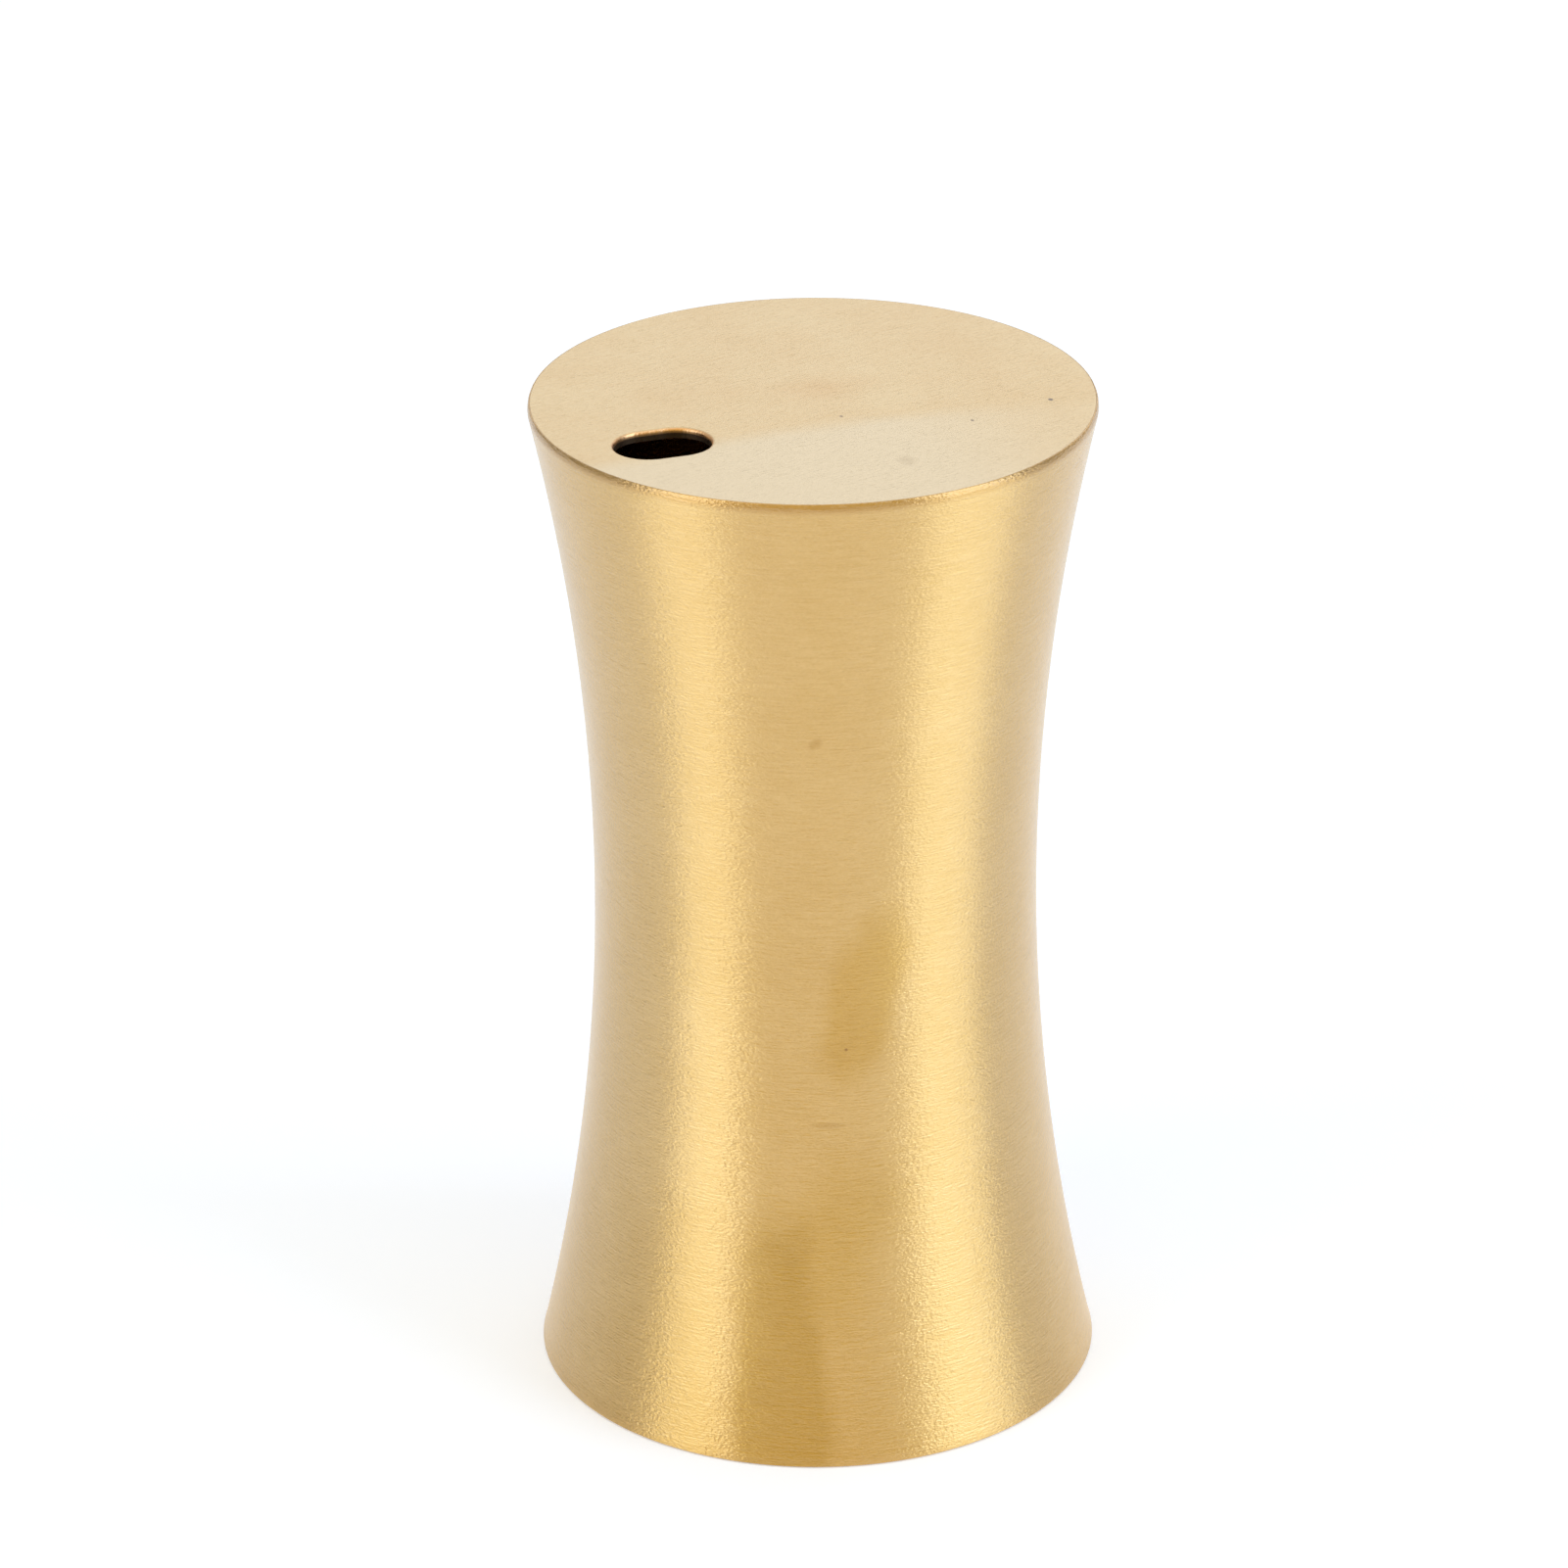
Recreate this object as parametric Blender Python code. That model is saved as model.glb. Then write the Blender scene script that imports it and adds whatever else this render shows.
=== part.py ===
"""Waisted toothpick dispenser: a flared sheet-steel shell, a slotted top plate and a screw-in foot cap.

Metres, +Z up. The origin is on the table, at the middle of the foot, and +X runs along the slot.
"""
import math

import bmesh
import bpy
import numpy as np

MM = 0.001

# Shell: one steel tube drawn in to a waist. Its side is a single parabola, a little wider at the foot.
HEIGHT = 80.0 * MM
TOP_DIAMETER = 43.0 * MM
FOOT_SPREAD = 0.5 * MM
WAIST_DRAW = 4.35 * MM
SHEET = 0.8 * MM
RIM_ROUND = 0.35 * MM

# Top plate: a flat disc set inside the rim, with one pill-shaped slot near its edge.
PLATE_THICKNESS = 0.8 * MM
SLOT_LENGTH = 7.4 * MM
SLOT_WIDTH = 5.4 * MM
SLOT_LIP = 0.35 * MM
SLOT_INSET = 7.1 * MM
SLOT_BEARING = math.radians(-159.6)

# Foot ring: a soft ring that stands a little below the shell's cut edge.
FOOT_PROUD = 0.3 * MM
FOOT_RING_WIDTH = 2.0 * MM
FOOT_RING_HEIGHT = 2.0 * MM
FOOT_RING_CHAMFER = 0.3 * MM

# Base ring: fixed in the foot. It has a land beside the foot ring, a counterbore, a shoulder and a thread.
BASE_RECESS = 0.8 * MM
LAND_WIDTH = 1.3 * MM
SHOULDER_WIDTH = 1.0 * MM
THREAD_PITCH = 2.5 * MM
THREAD_DEPTH = 1.0 * MM
THREAD_LENGTH = 5.0 * MM
THREAD_FADE = 0.8 * MM

# Cap and gasket: a threaded plug with a flange, hollow below, with a bar across the hollow to turn it by.
FLANGE_THICKNESS = 1.6 * MM
GASKET_THICKNESS = 1.0 * MM
CAP_WALL = 1.6 * MM
CAP_FLOOR = 1.8 * MM
GRIP_WIDTH = 3.0 * MM
GRIP_SETBACK = 0.5 * MM
GRIP_ROUND = 0.8 * MM

# Room between pieces that touch, and how far a cutter runs past what it cuts.
GAP = 0.3 * MM
OVERRUN = 1.0 * MM
SAME_PLACE = 0.001 * MM

# Counts of facets.
AROUND = 64
SHELL_ROWS = 12
RING_ROWS = 4
ROUND_STEPS = 3
SLOT_END_STEPS = 12
THREAD_ROWS_A_PITCH = 8
SHARP_ANGLE = math.radians(32)

# Heights, from the table up.
FLANGE_TOP = BASE_RECESS + FLANGE_THICKNESS
GASKET_BOTTOM = FLANGE_TOP + GAP
GASKET_TOP = GASKET_BOTTOM + GASKET_THICKNESS
SHOULDER = GASKET_TOP + GAP
RING_TOP = SHOULDER + THREAD_LENGTH
CAP_TOP = RING_TOP - GAP
FOOT_RING_SEAT = FOOT_RING_HEIGHT + GAP
PLATE_BOTTOM = HEIGHT - PLATE_THICKNESS


# The side's parabola. Its waist height is the one that gives both ends their own radius.
FOOT_RISE = math.sqrt(WAIST_DRAW + FOOT_SPREAD)
TOP_RISE = math.sqrt(WAIST_DRAW)
WAIST_RADIUS = TOP_DIAMETER / 2 - WAIST_DRAW
WAIST_HEIGHT = HEIGHT * FOOT_RISE / (FOOT_RISE + TOP_RISE)
BEND = WAIST_DRAW / (HEIGHT - WAIST_HEIGHT) ** 2


def shell_radius(z):
    """Outside radius of the shell at a height."""
    return WAIST_RADIUS + BEND * (z - WAIST_HEIGHT) ** 2


def shell_lean(z):
    """Angle of the shell's side from upright, in radians, positive where it opens upwards."""
    return math.atan(2 * BEND * (z - WAIST_HEIGHT))


def bore_radius(z):
    """Inside radius of the shell."""
    return shell_radius(z) - SHEET


# Radii of the foot, each from the piece outside it.
FOOT_RING_OUTER = bore_radius(FOOT_RING_HEIGHT) - GAP
FOOT_RING_INNER = FOOT_RING_OUTER - FOOT_RING_WIDTH
LAND_OUTER = FOOT_RING_INNER - GAP
COUNTERBORE = LAND_OUTER - LAND_WIDTH
NUT_ROOT = COUNTERBORE - SHOULDER_WIDTH
PLUG_ROOT = NUT_ROOT - GAP - THREAD_DEPTH
FLANGE_RADIUS = COUNTERBORE - GAP
GASKET_INNER = PLUG_ROOT + GAP
HOLLOW_RADIUS = PLUG_ROOT - CAP_WALL


def clear_scene():
    for thing in list(bpy.data.objects):
        bpy.data.objects.remove(thing, do_unlink=True)


def finish(name, colour, metallic, roughness):
    """A plain surface of one colour."""
    material = bpy.data.materials.new(name)
    material.use_nodes = True
    surface = material.node_tree.nodes["Principled BSDF"]
    surface.inputs["Base Color"].default_value = (*colour, 1.0)
    surface.inputs["Metallic"].default_value = metallic
    surface.inputs["Roughness"].default_value = roughness
    material.diffuse_color = (*colour, 1.0)
    return material


def make_object(name, bm, material=None):
    """Puts a finished bmesh into the scene, with its faces outwards and its round sides smooth."""
    bmesh.ops.remove_doubles(bm, verts=bm.verts[:], dist=SAME_PLACE)
    bmesh.ops.recalc_face_normals(bm, faces=bm.faces[:])
    mesh = bpy.data.meshes.new(name)
    bm.to_mesh(mesh)
    bm.free()
    thing = bpy.data.objects.new(name, mesh)
    bpy.context.collection.objects.link(thing)
    mesh.shade_smooth()
    mesh.set_sharp_from_angle(angle=SHARP_ANGLE)
    if material:
        mesh.materials.append(material)
    return thing


def spin(outline):
    """Turns an outline of (radius, height) points once round Z. One that starts on the axis ends on it."""
    bm = bmesh.new()
    points = [bm.verts.new((radius, 0, height)) for radius, height in outline]
    edges = [bm.edges.new(pair) for pair in zip(points, points[1:])]
    if outline[0][0] > 0:
        edges.append(bm.edges.new((points[-1], points[0])))
    bmesh.ops.spin(bm, geom=points + edges, axis=(0, 0, 1), cent=(0, 0, 0),
                   angle=2 * math.pi, steps=AROUND, use_merge=True)
    bmesh.ops.remove_doubles(bm, verts=bm.verts[:], dist=SAME_PLACE)
    return bm


def ring_outline(inner, outer, low, high, chamfer=0):
    """A rectangle of (radius, height) points, with its lower corners cut off where a chamfer is given."""
    bottom = [(inner, low), (outer, low)]
    if chamfer:
        bottom = [(inner, low + chamfer), (inner + chamfer, low), (outer - chamfer, low), (outer, low + chamfer)]
    return bottom + [(outer, high), (inner, high)]


def thread_share(bearing, z):
    """1 on the crest of the plug's right-hand round thread, 0 in its root, at a bearing and a height."""
    turns = z / THREAD_PITCH - bearing / (2 * math.pi)
    return 0.5 + 0.5 * math.cos(2 * math.pi * turns)


def cut_thread(bm, wall, low, high, rise):
    """Moves the points of a plain wall out by rise(thread share), growing from nothing at both ends."""
    for point in bm.verts:
        radius = point.co.xy.length
        if abs(radius - wall) > SAME_PLACE or not low < point.co.z < high:
            continue
        share = thread_share(math.atan2(point.co.y, point.co.x), point.co.z)
        grown = min(point.co.z - low, high - point.co.z, THREAD_FADE) / THREAD_FADE
        new_radius = wall + grown * rise(share)
        point.co.x *= new_radius / radius
        point.co.y *= new_radius / radius


def thread_heights(low, high):
    """Heights of the rows of points that carry a thread, ends included."""
    rows = max(2, round((high - low) / THREAD_PITCH * THREAD_ROWS_A_PITCH))
    return np.linspace(low, high, rows + 1)


def hidden(thing):
    """Marks a tool shape, which is no piece of the object."""
    thing.hide_render = True
    thing.display_type = "WIRE"
    return thing


def combine(thing, tool, operation):
    modifier = thing.modifiers.new(operation.lower(), "BOOLEAN")
    modifier.operation = operation
    modifier.solver = "EXACT"
    modifier.object = hidden(tool)


def waist_shell(material):
    """Wall of even width between two parabolas, open at both ends, with its outer top edge rounded."""
    heights = np.linspace(FOOT_PROUD, HEIGHT, SHELL_ROWS + 1)
    lean = shell_lean(HEIGHT)
    centre_height = HEIGHT - RIM_ROUND
    centre_radius = shell_radius(centre_height) - RIM_ROUND / math.cos(lean)
    outline = [(shell_radius(z), z) for z in heights[:-1]]
    for turn in np.linspace(-lean, math.pi / 2, ROUND_STEPS + 1):
        outline.append((centre_radius + RIM_ROUND * math.cos(turn), centre_height + RIM_ROUND * math.sin(turn)))
    outline += [(bore_radius(z), z) for z in heights[::-1]]
    make_object("waist_shell", spin(outline), material)


def slot_ring(bm, grow, height):
    """One closed pill-shaped row of points round the slot's centre, wider than the slot by grow a side."""
    half_run = (SLOT_LENGTH - SLOT_WIDTH) / 2
    radius = SLOT_WIDTH / 2 + grow
    centre_distance = TOP_DIAMETER / 2 - SLOT_INSET
    centre_x = centre_distance * math.cos(SLOT_BEARING)
    centre_y = centre_distance * math.sin(SLOT_BEARING)
    row = []
    for side in (1, -1):
        for turn in np.linspace(-math.pi / 2, math.pi / 2, SLOT_END_STEPS + 1):
            x = side * (half_run + radius * math.cos(turn))
            y = side * radius * math.sin(turn)
            row.append(bm.verts.new((centre_x + x, centre_y + y, height)))
    return row


def slot_cutter():
    """Prism of the slot that flares at its top, and so leaves a rounded lip."""
    bm = bmesh.new()
    rows = [slot_ring(bm, 0, PLATE_BOTTOM - OVERRUN)]
    for turn in np.linspace(0, math.pi / 2, ROUND_STEPS + 1):
        rows.append(slot_ring(bm, SLOT_LIP * (1 - math.cos(turn)), HEIGHT - SLOT_LIP * (1 - math.sin(turn))))
    rows.append(slot_ring(bm, SLOT_LIP, HEIGHT + OVERRUN))
    for below, above in zip(rows, rows[1:]):
        for i in range(len(below)):
            bm.faces.new((below[i - 1], below[i], above[i], above[i - 1]))
    bm.faces.new(rows[0][::-1])
    bm.faces.new(rows[-1])
    return make_object("slot_cutter", bm)


def top_plate(material):
    """Disc whose edge follows the inside of the rim, with the slot cut through."""
    outline = [(0, PLATE_BOTTOM), (bore_radius(PLATE_BOTTOM) - GAP, PLATE_BOTTOM),
               (bore_radius(HEIGHT) - GAP, HEIGHT), (0, HEIGHT)]
    plate = make_object("top_plate", spin(outline), material)
    combine(plate, slot_cutter(), "DIFFERENCE")


def foot_ring(material):
    outline = ring_outline(FOOT_RING_INNER, FOOT_RING_OUTER, 0, FOOT_RING_HEIGHT, FOOT_RING_CHAMFER)
    make_object("foot_ring", spin(outline), material)


def base_ring(material):
    """Ring whose outside follows the shell's bore and whose inside is the cap's counterbore and thread."""
    outline = [(COUNTERBORE, BASE_RECESS), (LAND_OUTER, BASE_RECESS), (LAND_OUTER, FOOT_RING_SEAT)]
    outline += [(bore_radius(z) - GAP, z) for z in np.linspace(FOOT_RING_SEAT, RING_TOP, RING_ROWS)]
    outline += [(NUT_ROOT, z) for z in thread_heights(SHOULDER, RING_TOP)[::-1]]
    outline += [(COUNTERBORE, SHOULDER)]
    bm = spin(outline)
    cut_thread(bm, NUT_ROOT, SHOULDER, RING_TOP, lambda share: -THREAD_DEPTH * (1 - share))
    make_object("base_ring", bm, material)


def grip_bar():
    """Bar across the cap's hollow, sunk half way into its wall and its floor, with its lower edges rounded."""
    low = BASE_RECESS + GRIP_SETBACK
    high = CAP_TOP - CAP_FLOOR / 2
    length = 2 * HOLLOW_RADIUS + CAP_WALL
    bm = bmesh.new()
    bmesh.ops.create_cube(bm, size=1)
    bmesh.ops.scale(bm, vec=(length, GRIP_WIDTH, high - low), verts=bm.verts)
    bmesh.ops.translate(bm, vec=(0, 0, (low + high) / 2), verts=bm.verts)
    lower_edges = [edge for edge in bm.edges
                   if all(v.co.z < (low + high) / 2 for v in edge.verts)
                   and edge.verts[0].co.y * edge.verts[1].co.y > 0]
    bmesh.ops.bevel(bm, geom=lower_edges, offset=GRIP_ROUND, segments=ROUND_STEPS, profile=0.5, affect="EDGES")
    return make_object("grip_bar", bm)


def base_cap(material):
    """Threaded plug on a flange, hollow from below, with the grip bar across the hollow."""
    outline = [(0, CAP_TOP - CAP_FLOOR), (HOLLOW_RADIUS, CAP_TOP - CAP_FLOOR), (HOLLOW_RADIUS, BASE_RECESS),
               (FLANGE_RADIUS, BASE_RECESS), (FLANGE_RADIUS, FLANGE_TOP), (PLUG_ROOT, FLANGE_TOP)]
    outline += [(PLUG_ROOT, z) for z in thread_heights(SHOULDER, CAP_TOP)]
    outline += [(0, CAP_TOP)]
    bm = spin(outline)
    cut_thread(bm, PLUG_ROOT, SHOULDER, CAP_TOP, lambda share: THREAD_DEPTH * share)
    cap = make_object("base_cap", bm, material)
    combine(cap, grip_bar(), "UNION")


def cap_gasket(material):
    outline = ring_outline(GASKET_INNER, FLANGE_RADIUS, GASKET_BOTTOM, GASKET_TOP)
    make_object("cap_gasket", spin(outline), material)


clear_scene()
waist_shell(finish("gold_steel_brushed_round", (0.80, 0.58, 0.28), 1.0, 0.34))
top_plate(finish("gold_steel_brushed_straight", (0.85, 0.68, 0.43), 1.0, 0.38))
foot_ring(finish("grey_silicone", (0.20, 0.19, 0.18), 0.0, 0.62))
base_ring(finish("black_plastic_ring", (0.025, 0.025, 0.027), 0.0, 0.48))
base_cap(finish("black_plastic_cap", (0.030, 0.030, 0.032), 0.0, 0.45))
cap_gasket(finish("white_silicone", (0.62, 0.61, 0.58), 0.0, 0.55))
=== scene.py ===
import math

import bmesh
import bpy
import numpy as np
from mathutils import Matrix, Vector


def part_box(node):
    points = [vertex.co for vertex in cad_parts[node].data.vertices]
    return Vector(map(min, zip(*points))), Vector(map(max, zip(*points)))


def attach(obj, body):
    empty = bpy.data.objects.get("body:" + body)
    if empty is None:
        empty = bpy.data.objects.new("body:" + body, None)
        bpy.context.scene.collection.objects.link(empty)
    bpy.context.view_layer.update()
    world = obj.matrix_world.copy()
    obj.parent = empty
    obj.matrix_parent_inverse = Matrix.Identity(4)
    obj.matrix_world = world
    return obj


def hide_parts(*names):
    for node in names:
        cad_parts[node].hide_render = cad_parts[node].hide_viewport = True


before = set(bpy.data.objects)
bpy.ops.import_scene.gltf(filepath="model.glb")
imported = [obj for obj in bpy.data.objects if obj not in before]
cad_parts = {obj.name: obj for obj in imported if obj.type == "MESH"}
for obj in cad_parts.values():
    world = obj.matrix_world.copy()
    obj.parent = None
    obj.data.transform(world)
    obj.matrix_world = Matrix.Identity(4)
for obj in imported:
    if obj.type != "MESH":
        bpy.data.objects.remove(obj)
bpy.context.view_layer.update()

MM = 0.001
rim_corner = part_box("waist_shell")[1]

# The view: a long lens half a metre off, which looks down on the top from the slot's side.
# The bearing is counted from looking along +Y, and the aim lies in the upright plane that the lens faces.
VIEW_BEARING = math.radians(-19.05)
VIEW_DROP = math.radians(25.575)
VIEW_DISTANCE = 504.1 * MM
VIEW_LENS = 148.99
AIM_ASIDE = -2.39 * MM
AIM_HEIGHT = 48.03 * MM
VIEW_ROLL = math.radians(-0.42)
ahead = Vector((-math.sin(VIEW_BEARING), math.cos(VIEW_BEARING), 0))
aside = Vector((math.cos(VIEW_BEARING), math.sin(VIEW_BEARING), 0))
middle = Vector((0, 0, rim_corner.z / 2))
lens_place = middle - VIEW_DISTANCE * (ahead * math.cos(VIEW_DROP) - Vector((0, 0, math.sin(VIEW_DROP))))
aim = aside * AIM_ASIDE + Vector((0, 0, AIM_HEIGHT))
camera = bpy.data.objects.new("camera", bpy.data.cameras.new("camera"))
camera.data.lens = VIEW_LENS
camera.data.sensor_width = 36
camera.data.clip_start = 0.01
turn = (aim - lens_place).to_track_quat("-Z", "Y").to_matrix().to_4x4() @ Matrix.Rotation(VIEW_ROLL, 4, "Z")
camera.matrix_world = Matrix.Translation(lens_place) @ turn
bpy.context.scene.collection.objects.link(camera)
bpy.context.scene.camera = camera
bpy.context.scene.view_settings.view_transform = "Standard"

# The table: a wide round sheet of matt white board, seen from above only, so that the foot can be looked at
# from below. It shows its own white to the eye and to the metal, and keeps the holder's soft shadow.
# A round opening, which the soft foot ring covers, lets light reach the underside.
TABLE_REACH = 3.0
TABLE_OPENING = 19.8 * MM
TABLE_WHITE = "#F0F0F0"
TABLE_GLOW = 0.28
TABLE_STEPS = 128
MIRRORED_GLOW = 0.16
GLOW_COOL = "#E6F0FF"


def linear(code):
    """Scene colour of an sRGB hex code: each channel through the sRGB curve, and an alpha of one."""
    shares = np.array([int(code[i:i + 2], 16) for i in (1, 3, 5)]) / 255
    curve = np.where(shares <= 0.04045, shares / 12.92, ((shares + 0.055) / 1.055) ** 2.4)
    return (*curve.tolist(), 1.0)


def add(tree, kind, settings=None, **links):
    """Adds a node. Settings set its own fields, and links fill its inputs, from a socket or with a value."""
    node = tree.nodes.new(kind)
    for field, value in (settings or {}).items():
        setattr(node, field, value)
    for label, value in links.items():
        key = int(label[2:]) if label.startswith("in") and label[2:].isdigit() else label.replace("_", " ")
        if isinstance(value, bpy.types.NodeSocket):
            tree.links.new(value, node.inputs[key])
        else:
            node.inputs[key].default_value = value
    return node


def blank_tree(owner):
    """Empty node tree of a material or a world."""
    owner.use_nodes = True
    owner.node_tree.nodes.clear()
    return owner.node_tree


table_turns = np.linspace(0, 2 * np.pi, TABLE_STEPS, endpoint=False)
table_circle = np.stack([np.cos(table_turns), np.sin(table_turns), np.zeros(TABLE_STEPS)], 1)
table_points = np.concatenate([table_circle * TABLE_OPENING, table_circle * TABLE_REACH])
inner = np.arange(TABLE_STEPS)
table_faces = np.stack([inner, inner + TABLE_STEPS, np.roll(inner, -1) + TABLE_STEPS, np.roll(inner, -1)], 1)
table_mesh = bpy.data.meshes.new("table")
table_mesh.from_pydata(table_points, [], table_faces.tolist())
table = bpy.data.objects.new("table", table_mesh)
bpy.context.scene.collection.objects.link(table)
white_board = bpy.data.materials.new("matt_white_board")
tree = blank_tree(white_board)
path = add(tree, "ShaderNodeLightPath")
seen = add(tree, "ShaderNodeMath", {"operation": "MAXIMUM"}, in0=path.outputs["Is Camera Ray"],
           in1=path.outputs["Is Transmission Ray"])
mirrored = add(tree, "ShaderNodeMath", {"operation": "MULTIPLY"}, in0=path.outputs["Is Glossy Ray"],
               in1=MIRRORED_GLOW)
strength = add(tree, "ShaderNodeMath", {"operation": "MULTIPLY_ADD"}, in0=seen.outputs[0], in1=TABLE_GLOW,
               in2=mirrored.outputs[0])
board = add(tree, "ShaderNodeBsdfDiffuse", Color=linear(TABLE_WHITE))
glow = add(tree, "ShaderNodeEmission", Color=linear(GLOW_COOL), Strength=strength.outputs[0])
lit = add(tree, "ShaderNodeAddShader", in0=board.outputs[0], in1=glow.outputs[0])
clear = add(tree, "ShaderNodeBsdfTransparent")
face = add(tree, "ShaderNodeNewGeometry")
sheet = add(tree, "ShaderNodeMixShader", in0=face.outputs["Backfacing"], in1=lit.outputs[0],
            in2=clear.outputs[0])
add(tree, "ShaderNodeOutputMaterial", Surface=sheet.outputs[0])
table_mesh.materials.append(white_board)

# The light: a pale room, darker on the side that the lens looks from, and two upright soft boxes that draw
# the two bright bands on the body. A box's bearing is counted from the lens, as seen from the holder.
BACK_LEVEL = 1.63
SIDE_LEVEL = 0.47
FRONT_LEVEL = 0.82
OVERHEAD_LEVEL = 0.7
BACK_TURN = math.radians(10)
HORIZON_SHARE = 0.1
UNDER_LEVEL = 1.0
BOX_DISTANCE = 0.9
BOX_FOOT = 0.03
BOX_WHITE = "#D4E5FF"
SIDE_COOL = "#EDF4FF"
ROOM_WARM = "#FFE592"
BACK_WHITE = "#FFFFFF"
# Where each ramp starts and ends: towards the back for the first two, and upwards for the others.
SIDE_RAMP = (-0.77, -0.1)
BACK_RAMP = (0.46, 1.0)
RISE_RAMP = (0.0, 0.45)
UNDER_RAMP = (-0.05, -0.3)
OVER_RAMP = (0.6, 1.0)
LEFT_BOX = {"bearing": -55.1, "width": 0.51, "height": 1.2, "radiance": 2.36}
RIGHT_BOX = {"bearing": 66.7, "width": 0.64, "height": 1.2, "radiance": 2.72}


def soft_box(name, box):
    """Upright area lamp at a bearing, faced to the body. Its power is its radiance times its area times pi."""
    lamp = bpy.data.lights.new(name, "AREA")
    lamp.shape = "RECTANGLE"
    lamp.size, lamp.size_y = box["width"], box["height"]
    lamp.color = linear(BOX_WHITE)[:3]
    lamp.energy = box["radiance"] * box["width"] * box["height"] * math.pi
    bearing = math.radians(box["bearing"])
    towards = -ahead * math.cos(bearing) + aside * math.sin(bearing)
    place = towards * BOX_DISTANCE + Vector((0, 0, BOX_FOOT + box["height"] / 2))
    thing = bpy.data.objects.new(name, lamp)
    thing.matrix_world = Matrix.Translation(place) @ (-towards).to_track_quat("-Z", "Y").to_matrix().to_4x4()
    bpy.context.scene.collection.objects.link(thing)


soft_box("left_box", LEFT_BOX)
soft_box("right_box", RIGHT_BOX)
room = bpy.data.worlds.new("pale_room")
bpy.context.scene.world = room
tree = blank_tree(room)
way = add(tree, "ShaderNodeTexCoord").outputs["Generated"]
to_back = ahead * math.cos(BACK_TURN) + aside * math.sin(BACK_TURN)
depth = add(tree, "ShaderNodeVectorMath", {"operation": "DOT_PRODUCT"}, in0=way, in1=tuple(to_back))
side = add(tree, "ShaderNodeMapRange", {"interpolation_type": "SMOOTHSTEP"}, Value=depth.outputs["Value"],
           From_Min=SIDE_RAMP[0], From_Max=SIDE_RAMP[1])
back = add(tree, "ShaderNodeMapRange", {"interpolation_type": "SMOOTHSTEP"}, Value=depth.outputs["Value"],
           From_Min=BACK_RAMP[0], From_Max=BACK_RAMP[1])
wall = add(tree, "ShaderNodeMath", {"operation": "MULTIPLY_ADD"}, in0=side.outputs[0],
           in1=SIDE_LEVEL - FRONT_LEVEL, in2=FRONT_LEVEL)
wall = add(tree, "ShaderNodeMath", {"operation": "MULTIPLY_ADD"}, in0=back.outputs[0],
           in1=BACK_LEVEL - SIDE_LEVEL, in2=wall.outputs[0])
height = add(tree, "ShaderNodeSeparateXYZ", Vector=way)
rise = add(tree, "ShaderNodeMapRange", {"interpolation_type": "SMOOTHSTEP"}, Value=height.outputs["Z"],
           From_Min=RISE_RAMP[0], From_Max=RISE_RAMP[1], To_Min=HORIZON_SHARE, To_Max=1.0)
under = add(tree, "ShaderNodeMapRange", {"interpolation_type": "SMOOTHSTEP"}, Value=height.outputs["Z"],
            From_Min=UNDER_RAMP[0], From_Max=UNDER_RAMP[1], To_Min=0.0, To_Max=UNDER_LEVEL)
over = add(tree, "ShaderNodeMapRange", {"interpolation_type": "SMOOTHSTEP"}, Value=height.outputs["Z"],
           From_Min=OVER_RAMP[0], From_Max=OVER_RAMP[1], To_Min=0.0, To_Max=OVERHEAD_LEVEL)
level = add(tree, "ShaderNodeMath", {"operation": "MULTIPLY_ADD"}, in0=wall.outputs[0], in1=rise.outputs[0],
            in2=under.outputs[0])
level = add(tree, "ShaderNodeMath", {"operation": "ADD"}, in0=level.outputs[0], in1=over.outputs[0])
path = add(tree, "ShaderNodeLightPath")
shown = add(tree, "ShaderNodeMix", {"data_type": "FLOAT"}, Factor=path.outputs["Is Camera Ray"],
            A=level.outputs[0], B=1.0)
whiteness = add(tree, "ShaderNodeMath", {"operation": "MAXIMUM"}, in0=path.outputs["Is Camera Ray"],
                in1=back.outputs[0])
hue = add(tree, "ShaderNodeMix", {"data_type": "RGBA"}, in0=side.outputs[0], in6=linear(ROOM_WARM),
          in7=linear(SIDE_COOL))
hue = add(tree, "ShaderNodeMix", {"data_type": "RGBA"}, in0=whiteness.outputs[0], in6=hue.outputs[2],
          in7=linear(BACK_WHITE))
air = add(tree, "ShaderNodeBackground", Color=hue.outputs[2], Strength=shown.outputs[0])
add(tree, "ShaderNodeOutputWorld", Surface=air.outputs[0])

# Waisted shell: a tube of gold-coloured stainless sheet, drawn in to a waist, then brushed as it turned on
# a mandrel. Its rim has a small rabbet for the top plate, which is welded in, and its lower edge is cut
# square and broken.
SHEET = 0.8 * MM
WAIST_DRAW = 4.45 * MM
TOP_RADIUS = 21.6 * MM
FOOT_SPREAD = 0.4 * MM
RIM_ROLL = 1.0 * MM
RIM_ROLL_END = 25
RIM_CORNER = 0.1 * MM
STEEL_EDGE = 0.07 * MM
EDGE_BREAK = 0.1 * MM
PLATE_THICKNESS = 0.8 * MM
SEAM = 0.02 * MM
MERGED = 0.00001 * MM
AROUND = 256
foot_rise = math.sqrt(WAIST_DRAW + FOOT_SPREAD)
waist_height = rim_corner.z * foot_rise / (foot_rise + math.sqrt(WAIST_DRAW))
bend = WAIST_DRAW / (rim_corner.z - waist_height) ** 2


def shell_radius(z):
    """Outside radius at a height: the waist's radius plus the bend times the squared distance from it."""
    return TOP_RADIUS - WAIST_DRAW + bend * (z - waist_height) ** 2


def quarter(centre, radius, start, end, steps=6):
    """Points of an arc about a centre in the (radius, height) plane, from one angle to another in degrees."""
    turns = np.radians(np.linspace(start, end, steps + 1))
    return np.stack([centre[0] + radius * np.cos(turns), centre[1] + radius * np.sin(turns)], 1)


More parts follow.
